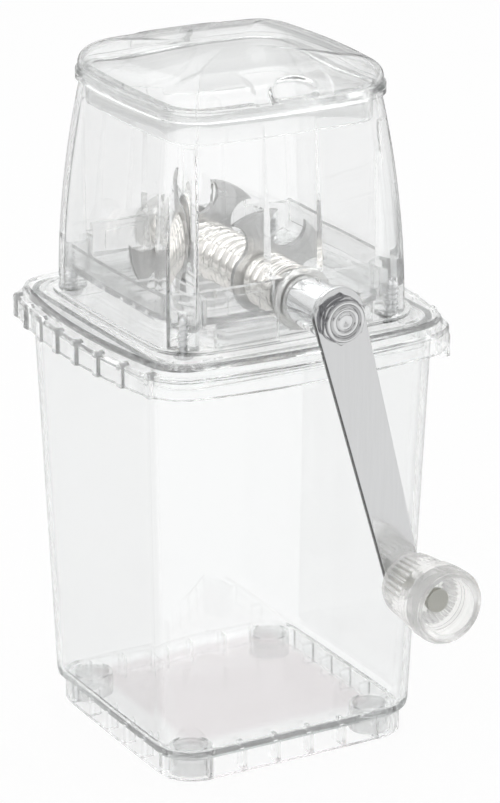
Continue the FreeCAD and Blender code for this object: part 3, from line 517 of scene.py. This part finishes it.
# Painted shade: the chrome's colour is darkened in the grooves between the rings and outside the rim.
nut_radius = 8.0 * mm
nut_chrome = metal("nut_chrome", (0.84, 0.845, 0.85), (0.78, 0.785, 0.79), 0.09, line=0.04, smudge=0.03)
nut_tree = nut_chrome.node_tree
nut_shader = nut_tree.nodes["Principled BSDF"]
from_axis = node(nut_tree, "ShaderNodeVectorMath", {
    0: node(nut_tree, "ShaderNodeTexCoord").outputs["Object"], 1: (0.0, 0.0, rotor_z)}, operation="SUBTRACT")
across = node(nut_tree, "ShaderNodeVectorMath", {0: from_axis.outputs["Vector"], 1: (1.0, 0.0, 1.0)},
              operation="MULTIPLY")
ring = node(nut_tree, "ShaderNodeVectorMath", {0: across.outputs["Vector"]}, operation="LENGTH")
reach = node(nut_tree, "ShaderNodeMath", {0: ring.outputs["Value"], 1: nut_radius}, operation="DIVIDE")
groove_shade = ramp(nut_tree, reach.outputs["Value"], [(0.0, 0.85), (0.12, 1.0), (0.28, 1.0), (0.37, 0.85),
                                                (0.41, 0.62), (0.45, 0.95), (0.54, 1.0), (0.63, 0.85),
                                                (0.675, 0.5), (0.72, 0.9), (0.8, 1.0), (0.9, 0.8),
                                                (1.0, 1.0), (1.0, 0.5)])
groove_shaded_colour = node(nut_tree, "ShaderNodeMix", {0: 1.0, 6: nut_shader.inputs["Base Color"].links[0].from_socket,
                                        7: groove_shade}, data_type="RGBA", blend_type="MULTIPLY")
nut_tree.links.new(groove_shaded_colour.outputs[2], nut_shader.inputs["Base Color"])
# Painted shade: the hexagon's flanks are darkened as well, except where they look up.
paint_flank_shade(nut_chrome, (0.24, 0.24, 0.25))
new_piece("cap_nut_turned", cap_nut_mesh(nut_low.y / mm, nut_high.y / mm), nut_chrome, "chrome", "rotor",
          "cap_nut")


# ---- Crank arm -----------------------------------------------------------------------------
# Flat stainless strip with round ends, blanked and polished along its length.
# The knob's axle is riveted into its lower end.

arm_low, arm_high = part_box("crank_arm")
throw, lean_out = 101.1 * mm, math.radians(15.2)
knob_x, knob_z = throw * math.sin(lean_out), rotor_z - throw * math.cos(lean_out)


def arm_outline(top=9.15 * mm, end=6.6 * mm, overhang=1.8 * mm):
    """Two round ends joined by straight tapering flanks."""
    taper = math.asin((top - end) / (throw + overhang))
    points = []
    for centre, radius, first, last in ((-overhang, top, math.pi - taper, 2 * math.pi + taper),
                                        (throw, end, taper, math.pi - taper)):
        for step in range(33):
            angle = first + (last - first) * step / 32
            points.append((radius * math.cos(angle), centre + radius * math.sin(angle)))
    turned = []
    for across, down in points:
        turned.append((across * math.cos(lean_out) + down * math.sin(lean_out),
                       rotor_z + across * math.sin(lean_out) - down * math.cos(lean_out)))
    return turned


arm_steel = metal("polished_arm", (0.75, 0.755, 0.76), (0.69, 0.695, 0.70), 0.13, stretch=(1500, 100, 60),
                  line=0.10, smudge=0.05)
# Painted shade: the arm's flanks are painted nearly black, except where they look up.
paint_flank_shade(arm_steel, (0.12, 0.12, 0.12), above=0.15)
new_piece("crank_arm_polished", plate_mesh("crank_arm_polished", arm_outline(), arm_low.y, arm_high.y, 0.3 * mm),
          arm_steel, "arm_steel", "rotor", "crank_arm")


# ---- Knob and its axle ---------------------------------------------------------------------
# Clear plastic knob, faintly warm and milky: a finely fluted grip behind a smooth beaded head
# with a deep cup in its face. A dark steel pin with a round head holds it on the arm.

pin_steel = metal("pin_steel", (0.52, 0.52, 0.48), (0.42, 0.42, 0.39), 0.35)
dress(pin_steel, "knob_axle")


def knob_mesh(front, back, steps=288, flutes=36, flute_depth=0.5):
    """One closed shell: beaded rim and head, fluted grip that narrows backwards, bore and cup."""
    neck = front + 11.0
    floor = front + 9.4
    shell = [(front + 0.9, 10.0, 0), (front + 0.2, 10.5, 0), (front, 10.9, 0), (front + 0.15, 11.3, 0),
             (front + 1.1, 11.5, 0), (front + 1.1, 11.75, 0), (front + 0.3, 12.0, 0), (front + 0.25, 12.4, 0),
             (front + 0.6, 12.9, 0), (front + 1.3, 13.2, 0),
             (front + 2.4, 13.3, 0), (neck - 4.0, 13.25, 0), (neck - 3.0, 13.1, 0), (neck - 2.7, 12.8, 0),
             (neck - 2.4, 12.8, 0), (neck - 2.0, 13.05, 0), (neck - 1.2, 13.0, 0), (neck - 0.9, 12.7, 0),
             (neck - 0.6, 12.7, 0), (neck - 0.2, 12.85, 0), (neck + 0.5, 12.7, 0), (neck + 0.9, 12.4, 0),
             (neck + 1.3, 12.3, 0.7), (neck + 2.0, 12.2, 1), (back - 4.0, 11.4, 1), (back - 2.4, 11.1, 0.9),
             (back - 1.4, 10.7, 0.4), (back - 0.5, 9.9, 0), (back, 8.9, 0), (back, 3.4, 0), (back - 0.3, 3.1, 0),
             (floor + 0.3, 3.1, 0), (floor, 3.4, 0), (floor, 8.6, 0), (floor - 0.5, 9.2, 0),
             (front + 2.0, 9.75, 0)]
    net = bmesh.new()
    rings = []
    for y, radius, fluted in shell:
        ring = []
        for k in range(steps):
            angle = 2 * math.pi * k / steps
            wave = (0.5 - 0.5 * math.cos(flutes * angle)) ** 1.6
            here = (radius - flute_depth * fluted * wave) * mm
            ring.append(net.verts.new((knob_x + here * math.cos(angle), y * mm, knob_z + here * math.sin(angle))))
        rings.append(ring)
    for a in range(len(rings)):
        first, second = rings[a], rings[(a + 1) % len(rings)]
        for k in range(steps):
            j = (k + 1) % steps
            net.faces.new((first[k], first[j], second[j], second[k]))
    return close_mesh("knob_moulded", net)


knob_low, knob_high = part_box("knob")
knob_plastic = clear_plastic("knob_plastic", (0.992, 0.99, 0.98), (0.88, 0.87, 0.82), 4.0, roughness=0.03,
                             clearness=0.84, ior=1.32, body=0.84)
new_piece("knob_moulded", knob_mesh(knob_low.y / mm, knob_high.y / mm), knob_plastic, "knob_plastic", "grip",
          "knob")


# ---- Lid -----------------------------------------------------------------------------------
# Clear pillow-shaped lid with a flat rim and a plug that drops into the hopper's mouth.
# Front and back each have a raised tab with a scoop for a fingertip.

def bowed_ring(net, half, corner, bow_radius, z, side_steps=72, corner_steps=14):
    """A ring of vertices on a square with bowed sides and round corners."""
    reach = bow_radius - corner
    offset = half - bow_radius
    middle = (offset + math.sqrt(2 * reach ** 2 - offset ** 2)) / 2
    turn = math.atan2(middle, middle - offset)
    quarter = []
    for k in range(side_steps):
        angle = turn * (2 * k / side_steps - 1)
        quarter.append((offset + bow_radius * math.cos(angle), bow_radius * math.sin(angle)))
    for k in range(corner_steps):
        angle = turn + (math.pi / 2 - 2 * turn) * k / corner_steps
        quarter.append((middle + corner * math.cos(angle), middle + corner * math.sin(angle)))
    ring = []
    for side in range(4):
        for x, y in quarter:
            for _ in range(side):
                x, y = -y, x
            ring.append(net.verts.new((x, y, z)))
    return ring


def lid_mesh():
    """One closed shell from the crown down the outside, round the rim and the plug and back up inside."""
    rim_low, rim_top, top, wall = 233.1, 234.9, 245.3, 2.2
    rim_half, rim_corner, rim_rise = 44.9, 17.7, 4.6
    plug_half, plug_corner, plug_rise, plug_gap, plug_foot = 42.1, 14.4, 2.0, 2.9, 222.6
    rim_bow = (rim_half ** 2 + rim_rise ** 2) / (2 * rim_rise)
    plug_bow = (plug_half ** 2 + plug_rise ** 2) / (2 * plug_rise)
    spring, middle_inset, fullness, dome_steps = rim_top + 0.4, 41.9, 2.9, 26
    shares = [1 - (1 - k / dome_steps) ** 1.7 for k in range(dome_steps + 1)]
    net = bmesh.new()

    def rim_ring(inset, z):
        return bowed_ring(net, rim_half - inset, max(rim_corner - inset, 0.8), rim_bow - inset, z)

    def plug_ring(inset, z):
        inset += plug_gap
        return bowed_ring(net, plug_half - inset, plug_corner - inset, plug_bow - inset, z)

    def dome_ring(share, edge_inset, height):
        rise = (1 - share ** fullness) ** (1 / fullness)
        return rim_ring(edge_inset + (middle_inset - edge_inset) * (1 - share), spring + (height - spring) * rise)

    outside = [dome_ring(share, 0.8, top) for share in shares]
    flank = [rim_ring(0.78, rim_top + 0.15), rim_ring(0.6, rim_top), rim_ring(0.35, rim_top),
             rim_ring(0.1, rim_top - 0.12), rim_ring(0.0, rim_top - 0.4), rim_ring(0.0, rim_low + 0.4),
             rim_ring(0.12, rim_low + 0.1), rim_ring(0.4, rim_low)]
    plug = [plug_ring(0.0, rim_low), plug_ring(0.0, plug_foot + 0.4), plug_ring(0.15, plug_foot + 0.1),
            plug_ring(0.5, plug_foot), plug_ring(1.3, plug_foot), plug_ring(1.7, plug_foot + 0.15),
            plug_ring(1.8, plug_foot + 0.5), plug_ring(1.8, rim_top - 0.3), plug_ring(1.6, rim_top)]
    ledge = [rim_ring(3.3, rim_top), rim_ring(3.02, rim_top + 0.1)]
    inside = [dome_ring(share, 3.0, top - wall) for share in reversed(shares)]
    tab_half, tab_raise, scoop, floor = 14.5, 1.1, 10.5, rim_top + 0.3
    centre_y, centre_z = 44.1 + tab_raise + 4.4, rim_top + 6.6
    for ring, radius in [(r, scoop) for r in outside] + [(r, scoop + wall) for r in inside]:
        for vertex in ring:
            side = 1 if vertex.co.y > 0 else -1
            if radius == scoop:
                edge = min(max((tab_half + 0.5 - abs(vertex.co.x)) / 1.0, 0), 1)
                inner = min(max((abs(vertex.co.y) - 32.0) / 5.0, 0), 1)
                vertex.co.y += side * tab_raise * edge * inner
            centre = Vector((0, side * centre_y, centre_z))
            away = vertex.co - centre
            if away.length < radius:
                vertex.co = centre + away.normalized() * radius
                vertex.co.z = max(vertex.co.z, floor if radius == scoop else rim_top + 0.05)
    loops = outside + flank + plug + ledge + inside
    for first, second in zip(loops, loops[1:]):
        for k in range(len(first)):
            j = (k + 1) % len(first)
            net.faces.new((first[k], first[j], second[j], second[k]))
    net.faces.new(list(reversed(loops[0])))
    net.faces.new(loops[-1])
    bmesh.ops.scale(net, vec=(mm, mm, mm), verts=net.verts)
    return close_mesh("lid_moulded", net)


lid_plastic = clear_plastic("lid_plastic", (0.994, 0.997, 0.996), (0.74, 0.81, 0.79), 10.0, ior=1.3)
new_piece("lid_moulded", lid_mesh(), lid_plastic, "clear_plastic", "cover", "lid")


# ---- Stage ---------------------------------------------------------------------------------
# White paper sweep under even studio light, with dark flags that only polished faces mirror.

scene = bpy.context.scene
studio = bpy.data.worlds.new("studio")
scene.world = studio
studio.use_nodes = True
sky = studio.node_tree
ways = node(sky, "ShaderNodeLightPath")
heading = node(sky, "ShaderNodeSeparateXYZ", {"Vector": node(sky, "ShaderNodeTexCoord").outputs["Generated"]})
height = node(sky, "ShaderNodeMapRange", {"Value": heading.outputs["Z"], "From Min": -1.0, "From Max": 1.0})
mirrored = ramp(sky, height.outputs["Result"], [(0.0, 0.75), (0.3, 0.75), (0.45, 0.62), (0.54, 0.6),
                                                (0.551, 0.06), (0.572, 0.06), (0.583, 0.85), (0.63, 0.7),
                                                (0.66, 0.98), (0.69, 0.95), (0.72, 0.72), (0.75, 1.0),
                                                (0.79, 0.9), (0.87, 0.5), (1.0, 0.85)])
through = ramp(sky, height.outputs["Result"], [(0.0, 1.0), (0.42, 0.97), (0.49, 0.66), (0.55, 0.66),
                                               (0.62, 1.0), (1.0, 1.0)])
soft = node(sky, "ShaderNodeMix", {0: ways.outputs["Is Glossy Ray"]}, data_type="RGBA")
soft.inputs[6].default_value = (0.62, 0.62, 0.62, 1)
sky.links.new(mirrored, soft.inputs[7])
clear = node(sky, "ShaderNodeMix", {0: ways.outputs["Is Transmission Ray"]}, data_type="RGBA")
sky.links.new(soft.outputs[2], clear.inputs[6])
sky.links.new(through, clear.inputs[7])
seen = node(sky, "ShaderNodeMix", {0: ways.outputs["Is Camera Ray"]}, data_type="RGBA")
sky.links.new(clear.outputs[2], seen.inputs[6])
seen.inputs[7].default_value = (1, 1, 1, 1)
sky.links.new(seen.outputs[2], sky.nodes["Background"].inputs["Color"])

paper_mesh = bpy.data.meshes.new("paper_sweep")
net = bmesh.new()
bmesh.ops.create_grid(net, x_segments=8, y_segments=8, size=3.0)
net.to_mesh(paper_mesh)
net.free()
paper = bpy.data.objects.new("paper_sweep", paper_mesh)
paper.location = (0, 0, -0.0003)
scene.collection.objects.link(paper)
white = bpy.data.materials.new("white_paper")
white.use_nodes = True
tree = white.node_tree
pulp = tree.nodes["Principled BSDF"]
pulp.inputs["Base Color"].default_value = (0.86, 0.86, 0.86, 1)
pulp.inputs["Roughness"].default_value = 0.9
glow = node(tree, "ShaderNodeEmission", {"Color": (1, 1, 1, 1), "Strength": 1.0})
ways = node(tree, "ShaderNodeLightPath")
either = node(tree, "ShaderNodeMath", {0: ways.outputs["Is Camera Ray"], 1: ways.outputs["Is Transmission Ray"]},
              operation="MAXIMUM")
part = node(tree, "ShaderNodeMath", {0: either.outputs["Value"], 1: 0.93}, operation="MULTIPLY")
blend = node(tree, "ShaderNodeMixShader", {0: part.outputs["Value"], 1: pulp.outputs["BSDF"],
                                           2: glow.outputs["Emission"]})
behind = node(tree, "ShaderNodeVectorMath", {0: node(tree, "ShaderNodeTexCoord").outputs["Object"],
                                             1: (0.49, 0.87, 0.0)}, operation="DOT_PRODUCT")
dark = node(tree, "ShaderNodeMapRange", {"Value": behind.outputs["Value"], "From Min": 0.20, "From Max": 0.5,
                                         "To Min": 0.0, "To Max": 0.75})
bounced = node(tree, "ShaderNodeMath", {0: ways.outputs["Is Glossy Ray"], 1: ways.outputs["Is Transmission Ray"]},
               operation="SUBTRACT", use_clamp=True)
only = node(tree, "ShaderNodeMath", {0: dark.outputs["Result"], 1: bounced.outputs["Value"]},
            operation="MULTIPLY")
edge = node(tree, "ShaderNodeEmission", {"Color": (1, 1, 1, 1), "Strength": 0.22})
last = node(tree, "ShaderNodeMixShader", {0: only.outputs["Value"], 1: blend.outputs["Shader"],
                                          2: edge.outputs["Emission"]})
tree.links.new(last.outputs["Shader"], tree.nodes["Material Output"].inputs["Surface"])
paper_mesh.materials.append(white)


def soft_box(name, place, target, size, power):
    """A rectangular soft light that points at a place on the object."""
    light = bpy.data.lights.new(name, "AREA")
    light.shape = "RECTANGLE"
    light.size, light.size_y = size
    light.energy = power
    lamp = bpy.data.objects.new(name, light)
    lamp.location = place
    lamp.rotation_euler = (Vector(target) - Vector(place)).to_track_quat("-Z", "Y").to_euler()
    lamp.visible_glossy = False
    scene.collection.objects.link(lamp)


soft_box("key_light", (-0.9, -0.7, 1.1), (0, 0, 0.12), (1.4, 1.6), 8.5)
soft_box("fill_light", (1.2, -0.6, 0.8), (0, 0, 0.12), (1.0, 1.4), 4.5)
soft_box("back_light", (0.2, 0.85, 1.3), (0, 0, 0.15), (1.9, 1.3), 7.5)

eye = bpy.data.cameras.new("camera")
eye.sensor_width = eye.sensor_height = 36
eye.sensor_fit = "VERTICAL"
eye.lens = 163.06
camera = bpy.data.objects.new("camera", eye)
azimuth, elevation = math.radians(-29.4174), math.radians(19.7124)
away, aside, aim_height = 1.26562, 0.0069, 0.11722
back = Vector((math.sin(azimuth) * math.cos(elevation), -math.cos(azimuth) * math.cos(elevation),
               math.sin(elevation)))
right = Vector((math.cos(azimuth), math.sin(azimuth), 0))
up = back.cross(right)
spot = back * away + right * aside + Vector((0, 0, aim_height))
camera.matrix_world = Matrix(((right.x, up.x, back.x, spot.x), (right.y, up.y, back.y, spot.y),
                              (right.z, up.z, back.z, spot.z), (0, 0, 0, 1)))
scene.collection.objects.link(camera)
scene.camera = camera
scene.view_settings.view_transform = "Standard"
scene.cycles.use_denoising = True
scene.cycles.max_bounces = 24
scene.cycles.transmission_bounces = 24
